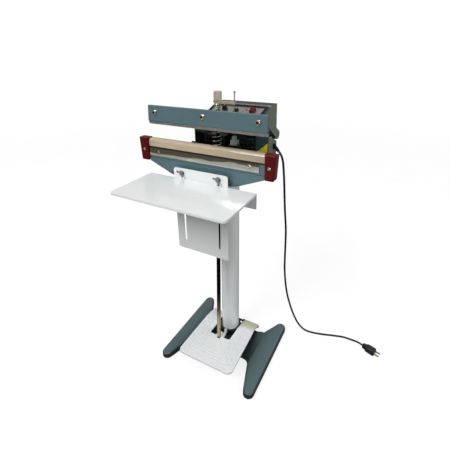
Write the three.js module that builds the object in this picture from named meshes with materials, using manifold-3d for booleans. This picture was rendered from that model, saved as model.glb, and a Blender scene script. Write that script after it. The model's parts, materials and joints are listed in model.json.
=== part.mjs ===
// Foot-pedal impulse heat sealer, floor standing, 350 mm seal.
// Millimetres, +Z up, -Y towards the operator, +X to the operator's right.
// Sizes below are stated from the column's axis; the whole group is then moved along Y so that
// the origin is under the middle of the machine's outline.
import * as THREE from 'three';
import { mergeVertices } from 'three/addons/utils/BufferGeometryUtils.js';
import Module from 'manifold-3d';

const wasm = await Module();
wasm.setup();

// ---------------------------------------------------------------- driving dimensions
const GAP = 0.3;                    // clearance kept between touching pieces
const JAW_LENGTH = 370;             // upper jaw beam, end to end
const JAW_HALF = JAW_LENGTH / 2;
const TABLE_FRONT_Y = -342;
const FOOT_REAR_Y = 109;
const ORIGIN_SHIFT_Y = -(TABLE_FRONT_Y + FOOT_REAR_Y) / 2;

// main pivot of the upper arm
const PIVOT = { y: 80, z: 797, shaftR: 6, holeR: 6.3 };

// column and base
const COLUMN_R = 32.3;
const COLUMN_WALL = 2;
const SOCKET_R = 38;
const BASE_SOCKET_R = 40.3;
const DECK_TOP_Z = 746.5;
const DECK_THICK = 8;
const BASE_X = 12;                  // the base stands a little to the right of the column
const FOOT = { inner: 114, outer: 182, top: 26, bottom: 5.3, wall: 5, dome: 8.5, tipY: -208, tipR: 18.5 };
const PAD_PLACES = [
  ['floor_pad_left_front', BASE_X - 165, -205], ['floor_pad_left_rear', BASE_X - 165, 80],
  ['floor_pad_right_front', BASE_X + 165, -205], ['floor_pad_right_rear', BASE_X + 165, 80],
];

// pedal
const PEDAL_HINGE = { y: 43, z: 31, pinR: 4, holeR: 4.25, knuckleR: 6.5 };
const PEDAL_TILT = THREE.MathUtils.degToRad(-3);
const PEDAL = { bendY: -14, bendZ: 51.3, thick: 3.5, rim: 6, frontY: -216, frontHalf: 104, rearHalf: 100,
  frontX: 8, rearX: 2 };
const PEDAL_CUT = { half: 41, endY: -88, corner: 7, tongueHalf: 15, tongueEndY: -66 };

// pull rod: leans back a little on its way up
const ROD_FOOT = { y: -92, z: 55.4 };
const ROD_LEAN = -Math.atan2(24, 812.6);
const ROD_R = 5.5;                   // where it passes the deck, the springs and the swivel block
const ROD_LOW = { r: 6.9, top: 640 }; // thicker lower length, from the pedal to below the deck
const SWIVEL = { y: -68, z: 868, boreR: 6.6, pinR: 3.4, half: 8.8, seat: 13 };

// lower jaw
const LOWER_JAW = { front: -156, rear: -132, bottom: DECK_TOP_Z + GAP, top: 802.4, half: JAW_HALF - 0.3 };
const CLOTH = { thick: 0.8, edgeZ: 781 };
const CAP = { inner: JAW_HALF + 0.2, outer: 216, front: -164, rear: -138, bottom: 737, top: 806 };

// upper jaw beam, leaning back by 4 degrees
const BEAM = { y: -150.6, z: 854.4, height: 44.8, depth: 9 };
const BEAM_LEAN = THREE.MathUtils.degToRad(4.2);

// housing and hood
const HOUSING = { half: 130, wall: 2.3, front: 3, rear: 70, bottom: DECK_TOP_Z + GAP };
const HOOD = { left: -53.5, right: 130, sheet: 1.8 };
const PANEL_SLOPE = Math.atan2(890.5 - 879, 13 + 23);

// work table and its slotted bracket
const TABLE = { half: 172.5, top: 703.4, sheet: 2, rearY: -173.8, flange: 44.6, corner: 12, lip: 6,
  boltZ: 681 };
const BRACKET = { half: 87.8, front: -173.5, rear: -171.5, bottom: 470.7, top: 734.7, corner: 8 };
const BOLT = { x: 59.2, z: 720.4, r: 2.9, slotHalf: 3.3, slotBottom: 500.4 };

// ---------------------------------------------------------------- materials
const finish = (color, roughness, metalness) => (
  new THREE.MeshStandardMaterial({ color, roughness, metalness }));
const bluePaint = finish(0x5f7a83, 0.45, 0.3);
const greenPaint = finish(0x7f8c84, 0.5, 0.3);
const whitePaint = finish(0xe4e7e9, 0.3, 0.1);
const footPaint = finish(0x4f6a6e, 0.45, 0.3);
const chrome = finish(0xc9c7c0, 0.18, 1);
const darkSteel = finish(0x3a3530, 0.3, 1);
const aluminium = finish(0xa9adb0, 0.35, 1);
const redPlastic = finish(0x8c1a16, 0.35, 0);
const blackPlastic = finish(0x141414, 0.5, 0);
const cloth = finish(0xc9b79a, 0.35, 0);
const blackRubber = finish(0x1b1b1c, 0.8, 0);
const silicone = finish(0xb9b4a8, 0.6, 0);
const yellowVinyl = finish(0xe0c81e, 0.5, 0);
const boardGreen = finish(0x23402c, 0.5, 0);
const ironLaminate = finish(0x2a2b2d, 0.6, 0.6);

// ---------------------------------------------------------------- building helpers
const part = new THREE.Group();
part.position.y = ORIGIN_SHIFT_Y;

function add(name, geometry, material, group = part) {
  const mesh = new THREE.Mesh(geometry, material);
  mesh.name = name;
  group.add(mesh);
  return mesh;
}

function toSolid(geometry) {
  const bare = geometry.clone();
  bare.deleteAttribute('normal');
  bare.deleteAttribute('uv');
  const merged = mergeVertices(bare, 1e-4);
  const mesh = new wasm.Mesh({
    numProp: 3,
    vertProperties: new Float32Array(merged.attributes.position.array),
    triVerts: new Uint32Array(merged.index.array),
  });
  return new wasm.Manifold(mesh);
}

function toGeometry(solid) {
  const mesh = solid.getMesh();
  const geometry = new THREE.BufferGeometry();
  geometry.setAttribute('position', new THREE.BufferAttribute(mesh.vertProperties, 3));
  geometry.setIndex(new THREE.BufferAttribute(mesh.triVerts, 1));
  geometry.computeVertexNormals();
  return geometry;
}

// joins the first list of geometries, then cuts away the second
function carve(joined, removed = []) {
  let solid = toSolid(joined[0]);
  for (const geometry of joined.slice(1)) solid = solid.add(toSolid(geometry));
  for (const geometry of removed) solid = solid.subtract(toSolid(geometry));
  return toGeometry(solid);
}

function box(x0, x1, y0, y1, z0, z1) {
  const geometry = new THREE.BoxGeometry(x1 - x0, y1 - y0, z1 - z0);
  return geometry.translate((x0 + x1) / 2, (y0 + y1) / 2, (z0 + z1) / 2);
}

function shapeOf(points) {
  return new THREE.Shape(points.map(([a, b]) => new THREE.Vector2(a, b)));
}

// rectangle with its own radius at each corner, anticlockwise from the low corner
function roundedRect(a0, a1, b0, b1, radii) {
  const [r1, r2, r3, r4] = Array.isArray(radii) ? radii : [radii, radii, radii, radii];
  const shape = new THREE.Shape();
  shape.moveTo(a0 + r1, b0);
  shape.lineTo(a1 - r2, b0);
  if (r2) shape.absarc(a1 - r2, b0 + r2, r2, -Math.PI / 2, 0);
  shape.lineTo(a1, b1 - r3);
  if (r3) shape.absarc(a1 - r3, b1 - r3, r3, 0, Math.PI / 2);
  shape.lineTo(a0 + r4, b1);
  if (r4) shape.absarc(a0 + r4, b1 - r4, r4, Math.PI / 2, Math.PI);
  shape.lineTo(a0, b0 + r1);
  if (r1) shape.absarc(a0 + r1, b0 + r1, r1, Math.PI, 1.5 * Math.PI);
  return shape;
}

const CORNER_STEPS = 4;

// an (x, y) outline raised along Z
function alongZ(shape, z0, z1) {
  const settings = { depth: z1 - z0, bevelEnabled: false, curveSegments: CORNER_STEPS };
  return new THREE.ExtrudeGeometry(shape, settings).translate(0, 0, z0);
}

// an (x, z) outline pushed along Y
function alongY(shape, y0, y1) {
  const settings = { depth: y1 - y0, bevelEnabled: false, curveSegments: CORNER_STEPS };
  return new THREE.ExtrudeGeometry(shape, settings).rotateX(Math.PI / 2).translate(0, y1, 0);
}

// a (y, z) outline pushed along X
function alongX(shape, x0, x1) {
  const settings = { depth: x1 - x0, bevelEnabled: false, curveSegments: CORNER_STEPS };
  const turn = new THREE.Matrix4().makeBasis(
    new THREE.Vector3(0, 1, 0), new THREE.Vector3(0, 0, 1), new THREE.Vector3(1, 0, 0));
  return new THREE.ExtrudeGeometry(shape, settings).applyMatrix4(turn).translate(x0, 0, 0);
}

function rodAlong(axis, radius, from, to, a = 0, b = 0, sides = 20) {
  const geometry = new THREE.CylinderGeometry(radius, radius, to - from, sides);
  const middle = (from + to) / 2;
  if (axis === 'x') return geometry.rotateZ(-Math.PI / 2).translate(middle, a, b);
  if (axis === 'y') return geometry.translate(a, middle, b);
  return geometry.rotateX(Math.PI / 2).translate(a, b, middle);
}

// turned piece: profile of (radius, height) pairs, its axis along +Z
function turned(profile, sides = 20) {
  const points = profile.map(([radius, height]) => new THREE.Vector2(radius, height));
  return new THREE.LatheGeometry(points, sides).rotateX(Math.PI / 2);
}

// coil spring along Z, its wire a small hexagon swept round a helix
function coilSpring(meanR, wireR, z0, z1, turns, stepsPerTurn) {
  class Helix extends THREE.Curve {
    getPoint(t, target = new THREE.Vector3()) {
      const angle = 2 * Math.PI * turns * t;
      const low = z0 + wireR;
      const high = z1 - wireR;
      return target.set(meanR * Math.cos(angle), meanR * Math.sin(angle), low + (high - low) * t);
    }
  }
  const wire = new THREE.Shape();
  for (let i = 0; i < 6; i += 1) {
    const angle = (i * Math.PI) / 3;
    const method = i === 0 ? 'moveTo' : 'lineTo';
    wire[method](wireR * Math.cos(angle), wireR * Math.sin(angle));
  }
  return new THREE.ExtrudeGeometry(wire, { steps: turns * stepsPerTurn, extrudePath: new Helix() });
}

// socket-head screw with a washer, its head pointing along -Y
function socketScrew(headR, headHeight, washerR, washerHeight, socketR) {
  const profile = [[0, 0], [washerR, 0], [washerR, washerHeight], [headR, washerHeight],
    [headR, headHeight - 1], [headR - 1, headHeight], [0, headHeight]];
  const body = turned(profile, 18);
  const socket = rodAlong('z', socketR, headHeight * 0.45, headHeight + 2, 0, 0, 6);
  return carve([body], [socket]).rotateX(Math.PI / 2);
}

// pan-head screw with a single slot, its head pointing along -Y
function slottedScrew(headR, headHeight) {
  const profile = [[0, 0], [headR, 0], [headR, headHeight * 0.35], [headR * 0.72, headHeight * 0.85],
    [0, headHeight]];
  const slot = box(-0.6, 0.6, -headR - 1, headR + 1, headHeight * 0.55, headHeight + 1);
  return carve([turned(profile, 14)], [slot]).rotateX(Math.PI / 2);
}

// ---------------------------------------------------------------- base
// right-hand foot, x from the middle of the base, anticlockwise
function footOutline() {
  const { inner, outer, tipR, tipY } = FOOT;
  const points = [[inner + 8, 48], [inner + 1, 35], [inner, 28], [inner, -106], [inner + 1.2, -117]];
  const tip = (x, y, r, from, to, steps) => {
    for (let i = 0; i <= steps; i += 1) {
      const angle = THREE.MathUtils.degToRad(from + ((to - from) * i) / steps);
      points.push([x + r * Math.cos(angle), y + r * Math.sin(angle)]);
    }
  };
  tip(outer - tipR, tipY, tipR, 196, 360, 6);
  tip(outer - tipR, FOOT_REAR_Y - tipR, tipR, 0, 142, 6);
  return points;
}

// the same outline drawn in by a distance, corner by corner
function drawnIn(points, inset) {
  const count = points.length;
  const normal = ([ax, ay], [bx, by]) => {
    const length = Math.hypot(bx - ax, by - ay);
    return [-(by - ay) / length, (bx - ax) / length];
  };
  return points.map(([x, y], i) => {
    const before = normal(points[(i + count - 1) % count], points[i]);
    const after = normal(points[i], points[(i + 1) % count]);
    const spread = 1 + before[0] * after[0] + before[1] * after[1];
    return [x + (inset * (before[0] + after[0])) / spread, y + (inset * (before[1] + after[1])) / spread];
  });
}

// closed skin through a stack of outlines with equal point counts, flat at both ends
function skin(rings) {
  const count = rings[0].points.length;
  const positions = rings.flatMap(({ points, z }) => points.flatMap(([x, y]) => [x, y, z]));
  const index = [];
  for (let level = 0; level + 1 < rings.length; level += 1) {
    for (let i = 0; i < count; i += 1) {
      const here = level * count + i;
      const next = level * count + ((i + 1) % count);
      index.push(here, next, next + count, here, next + count, here + count);
    }
  }
  const corners = rings[0].points.map(([x, y]) => new THREE.Vector2(x, y));
  const top = (rings.length - 1) * count;
  for (const [a, b, c] of THREE.ShapeUtils.triangulateShape(corners, [])) {
    index.push(c, b, a, top + a, top + b, top + c);
  }
  const geometry = new THREE.BufferGeometry();
  geometry.setAttribute('position', new THREE.Float32BufferAttribute(positions, 3));
  geometry.setIndex(index);
  return geometry;
}

function foot(side) {
  const { top, bottom, wall, dome } = FOOT;
  const outline = footOutline();
  const place = (points) => {
    const placed = points.map(([x, y]) => [BASE_X + side * x, y]);
    return side > 0 ? placed : placed.reverse();
  };
  const rings = [{ points: place(outline), z: bottom }, { points: place(outline), z: top - dome }];
  for (const degrees of [30, 60, 90]) {
    const angle = THREE.MathUtils.degToRad(degrees);
    const inset = dome * (1 - Math.cos(angle));
    rings.push({ points: place(drawnIn(outline, inset)), z: top - dome * (1 - Math.sin(angle)) });
  }
  let hollow = toSolid(alongZ(shapeOf(place(drawnIn(outline, wall + 2))), 0, top - wall));
  for (const [, x, y] of PAD_PLACES) hollow = hollow.subtract(toSolid(rodAlong('z', 13, -5, 40, x, y, 16)));
  return toSolid(skin(rings)).subtract(hollow);
}

for (const [name, x, y] of PAD_PLACES) {
  const pad = turned([[0, 0], [9.5, 0], [11, 1.2], [11, 5], [0, 5]], 16);
  add(name, pad.translate(x, y, 0), blackRubber);
}

// cross web between the feet: its top falls from the socket towards the operator
const WEB = { front: -98, rear: 24, frontTop: 12.5, rearTop: 26, bottom: 6 };
function webTop(y) {
  const share = THREE.MathUtils.clamp((y - WEB.front) / (WEB.rear - WEB.front), 0, 1);
  return WEB.frontTop + (WEB.rearTop - WEB.frontTop) * share;
}

// where the web runs into a foot its corners are swept, and its top rises smoothly to the foot's top
const ROOT = { start: 94, end: 134, steps: 5, cornerSteps: 4 };
function footRoot(side) {
  const corner = new THREE.QuadraticBezierCurve(new THREE.Vector2(ROOT.start - 2, WEB.front),
    new THREE.Vector2(FOOT.inner - 3, WEB.front), new THREE.Vector2(FOOT.inner + 3.5, -124));
  const stations = [[30, 109], [27, 102], [WEB.rear, 96], [16, ROOT.start], [WEB.front + 8, ROOT.start],
    ...corner.getPoints(ROOT.cornerSteps).map(({ x, y }) => [y, x])];
  const rings = stations.map(([y, start]) => {
    const points = [[start, WEB.bottom], [ROOT.end, WEB.bottom]];
    for (let i = 0; i <= ROOT.steps; i += 1) {
      const t = 1 - i / ROOT.steps;
      const rise = t * t * (3 - 2 * t);
      points.push([start + (ROOT.end - start) * t, webTop(y) + (FOOT.top - webTop(y)) * rise]);
    }
    const placed = points.map(([x, z]) => [BASE_X + side * x, z]);
    return { points: side > 0 ? placed : placed.reverse(), z: -y };
  });
  return skin(rings).rotateX(Math.PI / 2);
}

function baseCasting() {
  const half = FOOT.inner + FOOT.wall;
  const web = shapeOf([[WEB.front, WEB.bottom], [WEB.front, WEB.frontTop], [WEB.rear, WEB.rearTop],
    [WEB.rear, WEB.bottom]]);
  const rearWeb = shapeOf([[10, WEB.bottom], [10, 24.4], [WEB.rear, WEB.rearTop], [34, 26.6],
    [34, WEB.bottom]]);
  const ear = shapeOf([[24, 12], [24, 26.5], [39, 37.5], [47, 37.5], [50, 25], [40, 12]]);
  let casting = foot(-1).add(foot(1));
  const joined = [alongX(web, BASE_X - half, BASE_X + half), alongX(rearWeb, -40, 40),
    rodAlong('z', BASE_SOCKET_R, WEB.bottom, 42, 0, 0, 28), footRoot(-1), footRoot(1),
    alongX(ear, -40, -34), alongX(ear, 34, 40)];
  for (const geometry of joined) casting = casting.add(toSolid(geometry));
  const reliefHalf = FOOT.inner - 12;
  const removed = [
    rodAlong('z', COLUMN_R + GAP, 11, 60, 0, 0, 28),
    rodAlong('x', PEDAL_HINGE.pinR + GAP, -60, 60, PEDAL_HINGE.y, PEDAL_HINGE.z, 20),
    box(BASE_X - reliefHalf, -43, WEB.front + 6, WEB.rear - 6, 0, 9),
    box(43, BASE_X + reliefHalf, WEB.front + 6, WEB.rear - 6, 0, 9),
    box(-12, 12, WEB.front - 6, -84, 0, 40),
  ];
  for (const geometry of removed) casting = casting.subtract(toSolid(geometry));
  return toGeometry(casting);
}
add('base_casting', baseCasting(), footPaint);
const pinEnds = [-1, 1].map((side) => PEDAL.rearX + side * (PEDAL.rearHalf - 1));
add('pedal_hinge_pin', rodAlong('x', PEDAL_HINGE.pinR, ...pinEnds, PEDAL_HINGE.y, PEDAL_HINGE.z, 20), chrome);

// ---------------------------------------------------------------- column and body casting
const columnTop = DECK_TOP_Z - DECK_THICK - GAP;
add('column_tube', carve(
  [rodAlong('z', COLUMN_R, 11 + GAP, columnTop, 0, 0, 28)],
  [rodAlong('z', COLUMN_R - COLUMN_WALL, 0, columnTop + 10, 0, 0, 28)],
), whitePaint);

function bodyCasting() {
  const apronFront = -157.8;
  const apron = shapeOf([[-JAW_HALF, DECK_TOP_Z], [-JAW_HALF, 736], [-108, 704.5], [-90, 700.5],
    [90, 700.5], [108, 704.5], [JAW_HALF, 736], [JAW_HALF, DECK_TOP_Z]]);
  const deckBottom = DECK_TOP_Z - DECK_THICK;
  const solids = [
    alongY(apron, apronFront, apronFront + 7),
    box(-JAW_HALF, JAW_HALF, apronFront + 1, -128, deckBottom, DECK_TOP_Z),
    box(-HOUSING.half, HOUSING.half, -130, HOUSING.rear, deckBottom, DECK_TOP_Z),
    rodAlong('z', SOCKET_R, 690, deckBottom + 1, 0, 0, 28),
  ];
  for (const side of [-1, 1]) {
    const skirtX = Math.min(side * (HOUSING.half - 5), side * HOUSING.half);
    solids.push(alongX(shapeOf([[-151, 722], [-151, 740], [HOUSING.rear, 740], [HOUSING.rear, 716],
      [-60, 716]]), skirtX, skirtX + 5));
    solids.push(rodAlong('y', 9, BRACKET.rear + GAP, apronFront + 1, side * BOLT.x, BOLT.z, 20));
    const ribX = side * 62;
    const rib = shapeOf([[-152, 704], [-152, 740], [66, 740], [66, 722], [-20, 704]]);
    solids.push(alongX(rib, ribX - 3, ribX + 3));
  }
  const cuts = [
    rodAlong('z', COLUMN_R + GAP, 600, deckBottom - 0.01, 0, 0, 28),
    box(-8, 8, -88, -64, 700, 760),
  ];
  for (const side of [-1, 1]) {
    cuts.push(rodAlong('y', BOLT.r + 0.35, BRACKET.rear - 5, -145, side * BOLT.x, BOLT.z, 16));
  }
  return carve(solids, cuts);
}
add('body_casting', bodyCasting(), bluePaint);

// ---------------------------------------------------------------- lower jaw
function jawSection(grow, footZ) {
  const { front, rear, top } = LOWER_JAW;
  return roundedRect(front - grow, rear + grow, footZ, top + grow, [0, 0, 8 + grow, 7 + grow]);
}

const GROOVE = { y: -146, half: 2.8, depth: 0.9 };
add('lower_jaw_bar', carve(
  [alongX(jawSection(0, LOWER_JAW.bottom), -LOWER_JAW.half, LOWER_JAW.half)],
  [box(-200, 200, GROOVE.y - GROOVE.half, GROOVE.y + GROOVE.half,
    LOWER_JAW.top - GROOVE.depth, LOWER_JAW.top + 2)],
), ironLaminate);
add('heating_element', box(-JAW_HALF + 5, JAW_HALF - 5, GROOVE.y - 2, GROOVE.y + 2,
  LOWER_JAW.top - 0.6, LOWER_JAW.top), chrome);

const clothInner = jawSection(GAP, CLOTH.edgeZ - 20);
add('ptfe_cover', carve(
  [alongX(jawSection(GAP + CLOTH.thick, CLOTH.edgeZ), -LOWER_JAW.half, LOWER_JAW.half)],
  [alongX(clothInner, -200, 200)],
), cloth);

// bright strip that clamps the cloth's lower edge; it leans back a little towards its top
const STRIP = { front: -158.9, thick: 1.6, bottom: 753.5, top: 775.5, left: -184, right: 170,
  lean: THREE.MathUtils.degToRad(2.5) };
const stripOutline = roundedRect(STRIP.left, STRIP.right, 0, STRIP.top - STRIP.bottom, 2);
add('clamp_strip', alongY(stripOutline, 0, STRIP.thick)
  .rotateX(-STRIP.lean).translate(0, STRIP.front, STRIP.bottom), chrome);
for (const [name, x, z] of [['clamp_screw_left', -152, 765.5], ['clamp_screw_right', 142, 768]]) {
  const y = STRIP.front + (z - STRIP.bottom) * Math.tan(STRIP.lean) - GAP;
  add(name, slottedScrew(5, 3.4).rotateX(-STRIP.lean).translate(x, y, z), chrome);
}

// red end caps: bevelled boxes that grow narrower towards the bottom
function endCap(side) {
  const settings = { depth: CAP.rear - CAP.front - 6, bevelThickness: 3, bevelSize: 3, bevelOffset: -3,
    bevelSegments: 2, curveSegments: 3 };
  const corners = [[CAP.inner, CAP.top], [CAP.inner + 1.6, CAP.bottom + 2], [CAP.inner + 4, CAP.bottom],
    [CAP.outer - 6, CAP.bottom], [CAP.outer - 3.4, CAP.bottom + 3], [CAP.outer, CAP.top]];
  const outline = shapeOf(corners.map(([x, z]) => [side * x, z]));
  return new THREE.ExtrudeGeometry(outline, settings).rotateX(Math.PI / 2).translate(0, CAP.rear - 3, 0);
}
for (const [word, side] of [['left', -1], ['right', 1]]) {
  add(`end_cap_${word}`, endCap(side), redPlastic);
  const screw = slottedScrew(4.2, 2.6).translate(side * 199.2, CAP.front - GAP, 771.5);
  add(`end_cap_screw_${word}`, screw, chrome);
}

// ---------------------------------------------------------------- rear housing
const EAR = { inner: 116, outer: 121, r: 11 };

function housingShell() {
  const { half, wall, front, rear, bottom } = HOUSING;
  const sideWall = shapeOf([[front, bottom], [rear, bottom], [rear, 779], [66, 781], [front, 808]]);
  const ear = shapeOf([[44, bottom], [rear - 2, bottom], [rear - 2, 776], [PIVOT.y + 7, PIVOT.z - 9],
    [PIVOT.y - 4, PIVOT.z + 10], [58, 782], [44, 776]]);
  const solids = [box(-half, half, front, rear, bottom, bottom + 2),
    box(-half, half, rear - wall, rear, bottom, 779),
    box(-EAR.inner + 1, EAR.inner - 1, rear - wall, rear, 770, 788)];
  const cuts = [rodAlong('x', PIVOT.holeR, -140, 140, PIVOT.y, PIVOT.z, 24),
    rodAlong('x', 6.4, 110, 140, 45, 768, 20)];
  for (const side of [-1, 1]) {
    const wallX = Math.min(side * (half - wall), side * half);
    solids.push(alongX(sideWall, wallX, wallX + wall));
    const earX = Math.min(side * EAR.inner, side * EAR.outer);
    solids.push(alongX(ear, earX, earX + EAR.outer - EAR.inner));
    solids.push(rodAlong('x', EAR.r, earX, earX + EAR.outer - EAR.inner, PIVOT.y, PIVOT.z, 24));
  }
  return carve(solids, cuts);
}
add('housing_shell', housingShell(), greenPaint);

const backCover = carve(
  [alongY(roundedRect(-118, 118, 751, 777, 3), HOUSING.rear + GAP, HOUSING.rear + 1.9)],
  Array.from({ length: 8 }, (_, i) => box(-70 + i * 18, -60 + i * 18, 60, 80, 757, 771)),
);
add('housing_back_cover', backCover, greenPaint);
add('housing_front_panel', box(88, HOUSING.half - HOUSING.wall - GAP, 4, 5.6, 749.4, 803), greenPaint);
add('yellow_label', alongY(shapeOf([[91, 755], [127, 759], [127, 786]]), 3.3, 3.7), yellowVinyl);
add('housing_side_screw', rodAlong('x', 3, -146, -130.3, 8, 758, 12), blackPlastic);

add('arm_pivot_shaft', rodAlong('x', PIVOT.shaftR, -127.4, 127.4, PIVOT.y, PIVOT.z, 24), chrome);

const transformer = carve([
  box(-104, -28, 22, 62, 749.4, 787),
  box(-92, -40, 14, 66, 756, 780),
], [box(-98, -93, 10, 30, 740, 800)]);
add('transformer', transformer, ironLaminate);

// timer board on four posts, with its terminal block and the relay that switches the transformer
const BOARD = { left: -8, right: 82, front: 8, rear: 58, bottom: 762.6, top: 764.4 };
function timerBoard() {
  const { left, right, front, rear, bottom, top } = BOARD;
  const solids = [box(left, right, front, rear, bottom, top)];
  for (const x of [left + 5, right - 5]) {
    for (const y of [front + 5, rear - 5]) {
      solids.push(rodAlong('z', 3, HOUSING.bottom + 2 + GAP, top - 1, x, y, 8));
    }
  }
  solids.push(box(40, 66, 34, 52, top - 1, 782), rodAlong('z', 5, top - 1, 784, 30, 46, 14),
    rodAlong('z', 4, top - 1, 778, 72, 24, 12));
  return carve(solids);
}
add('timer_board', timerBoard(), boardGreen);
add('seal_relay', carve([box(-2, 20, 10, 28, BOARD.top + GAP, 779.5), box(1, 17, 9.2, 12, 768, 777),
  box(3, 14, 12, 24, 779, 792)]), aluminium);
const terminalSlots = Array.from({ length: 4 }, (_, i) => box(34.5 + i * 8, 38.5 + i * 8, 8, 14, 768, 780));
add('terminal_block', carve([box(32, 66, 10, 20, BOARD.top + GAP, 774)], terminalSlots), blackPlastic);

// ---------------------------------------------------------------- upper arm
const rotateAboutBeam = ([u, w]) => [
  BEAM.y + u * Math.cos(BEAM_LEAN) + w * Math.sin(BEAM_LEAN),
  BEAM.z - u * Math.sin(BEAM_LEAN) + w * Math.cos(BEAM_LEAN),
];
const beamShape = (points) => shapeOf(points.map(rotateAboutBeam));

const beamBar = [[0, 1.5], [1.5, 0], [BEAM.depth, 0], [BEAM.depth, BEAM.height], [1.5, BEAM.height],
  [0, BEAM.height - 1.5]];
add('upper_jaw_beam', alongX(beamShape(beamBar), -JAW_HALF, JAW_HALF), bluePaint);
add('pressure_rail', alongX(beamShape([[2.6, -GAP], [2.6, -6.4], [5, -6.4], [5, -3], [13, -3], [13, -6.4],
  [15.4, -6.4], [15.4, -GAP]]), -JAW_HALF, JAW_HALF), aluminium);
add('silicone_strip', alongX(beamShape([[5.3, -3 - GAP], [5.3, -8.5], [12.7, -8.5], [12.7, -3 - GAP]]),
  -JAW_HALF + 1, JAW_HALF - 1), silicone);

const screwSpacing = 160.6;
for (const [name, x] of [['jaw_screw_left', -1], ['jaw_screw_middle', 0], ['jaw_screw_right', 1]]) {
  const screw = socketScrew(6, 5.5, 8, 1.2, 3);
  screw.rotateX(-BEAM_LEAN);
  const [y, z] = rotateAboutBeam([-GAP, BEAM.height * 0.57]);
  add(name, screw.translate(x * screwSpacing, y, z), chrome);
}

const ARM = { outer: 127.2, thick: 3.6, leverHalf: 14, front: -137.6, frontThick: 4 };

function armFrame() {
  const upperEdge = [[-136, 858], [-136, 886], [-60, 866], [0, 857], [50, 836], [80, 811], [80, 784]];
  // the left plate reaches down inside the housing wall; the right one stays above the front panel
  const lowerEdge = { left: [[66, 786], [61, 776], [2, 799], [-2, 806], [-14, 838]],
    right: [[66, 790], [10, 829.5]] };
  const lever = shapeOf([[-136, 858], [-136, 886], [-54, 880], [-49.5, 863], [84, 807], [84, 787],
    [-30, 842]]);
  const solids = [
    box(-ARM.outer, ARM.outer, ARM.front, ARM.front + ARM.frontThick, 858, 888),
    alongX(lever, -ARM.leverHalf, ARM.leverHalf),
    rodAlong('x', 11, -EAR.inner + 1.5, EAR.inner - 1.5, PIVOT.y, PIVOT.z, 24),
    alongX(shapeOf([[-135, 858], [-135, 862], [-52, 862], [-52, 858]]), 10, 66),
  ];
  for (const hand of ['left', 'right']) {
    const near = hand === 'right' ? ARM.outer - ARM.thick : -ARM.outer;
    solids.push(alongX(shapeOf([...upperEdge, ...lowerEdge[hand]]), near, near + ARM.thick));
    solids.push(rodAlong('x', 15, near, near + ARM.thick, PIVOT.y, PIVOT.z, 24));
  }
  const cuts = [
    rodAlong('x', PIVOT.holeR, -140, 140, PIVOT.y, PIVOT.z, 24),
    box(-SWIVEL.half - 0.5, SWIVEL.half + 0.5, SWIVEL.y - 15, SWIVEL.y + 15, 800, 900),
    rodAlong('x', SWIVEL.pinR + 0.25, -30, 30, SWIVEL.y, SWIVEL.z, 20),
  ];
  return carve(solids, cuts);
}
add('arm_frame', armFrame(), bluePaint);

const microswitchTop = 880;
add('microswitch', carve([box(44, 62, -80, -54, 862.3, 876), box(49.5, 56.5, -71, -64, 875, microswitchTop)]),
  blackPlastic);

// hood: sheet cover with a sloping top, open underneath, its right cheek reaching the pivot
const hoodTop = [[-48, 871], [13, 890.5], [16, 894.5], [60, 895]];
const hoodProfile = [[-48, 866], ...hoodTop, [63.6, 823], [10, 828]];

function controlHood() {
  const { left, right, sheet } = HOOD;
  const outer = alongX(shapeOf(hoodProfile), left, right);
  const inner = alongX(shapeOf([[-48 + sheet, 700], [-48 + sheet, 871 - sheet],
    [13 + sheet, 890.5 - 1.3 * sheet], [60 - sheet, 895 - sheet], [63.6 - sheet, 822],
    [63.6 - sheet, 700]]), left + sheet, right - sheet);
  const rearClear = box(left + sheet, right - sheet, -40, 70, 815, 832);
  const window = new THREE.BoxGeometry(168, 50, 40).rotateX(PANEL_SLOPE).translate(35, -15, 882);
  const cheek = alongX(shapeOf([[10, 828], [10, 850], [63, 850], [63.6, 823], [80, 811], [80, 783.6],
    [72, 785]]), right - sheet, right);
  const knuckle = rodAlong('x', 14, right - sheet, right, PIVOT.y, PIVOT.z, 24);
  return toGeometry(toSolid(outer).subtract(toSolid(inner)).subtract(toSolid(rearClear))
    .subtract(toSolid(window)).add(toSolid(cheek)).add(toSolid(knuckle)));
}
add('control_hood', controlHood(), greenPaint);

// panel group: local +Z is the panel's outward normal, local X and Y lie in it
const panelGroup = new THREE.Group();
panelGroup.position.set(35, -15, 881.6);
panelGroup.rotation.x = PANEL_SLOPE;
part.add(panelGroup);

const PANEL = { halfX: 83.5, halfY: 24.5, thick: 1.5 };
function ring(halfX, halfY, width, z0, z1) {
  const outer = roundedRect(-halfX, halfX, -halfY, halfY, 2);
  outer.holes.push(roundedRect(-halfX + width, halfX - width, -halfY + width, halfY - width, 1));
  return alongZ(outer, z0, z1);
}
const SWITCH = { x: 51, y: -3, halfX: 7.5, halfY: 11 };
const KNOBS = [
  { name: 'heat_time_knob', x: -39, y: -3, r: 9, height: 13 },
  { name: 'cool_time_knob', x: 0, y: -6, r: 8, height: 7 },
];
const panelHoles = KNOBS.map(({ x, y }) => rodAlong('z', 3.5, -10, 10, x, y, 14));
panelHoles.push(box(SWITCH.x - SWITCH.halfX, SWITCH.x + SWITCH.halfX, SWITCH.y - SWITCH.halfY,
  SWITCH.y + SWITCH.halfY, -10, 10));
add('control_panel', carve([box(-PANEL.halfX, PANEL.halfX, -PANEL.halfY, PANEL.halfY, -PANEL.thick, 0)],
  panelHoles), aluminium, panelGroup);
add('panel_bezel', ring(PANEL.halfX + 3, PANEL.halfY + 3, 5, 1.4, 3), blackPlastic, panelGroup);

for (const { name, x, y, r, height } of KNOBS) {
  const profile = [[0, -6], [3, -6], [3, GAP], [r, GAP], [r - 0.6, height - 2], [r - 2, height],
    [0, height]];
  const pointer = box(-0.8, 0.8, 0, r, height - 1, height + 0.8);
  add(name, carve([turned(profile, 20), pointer]).translate(x, y, 0), blackPlastic, panelGroup);
}

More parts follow.
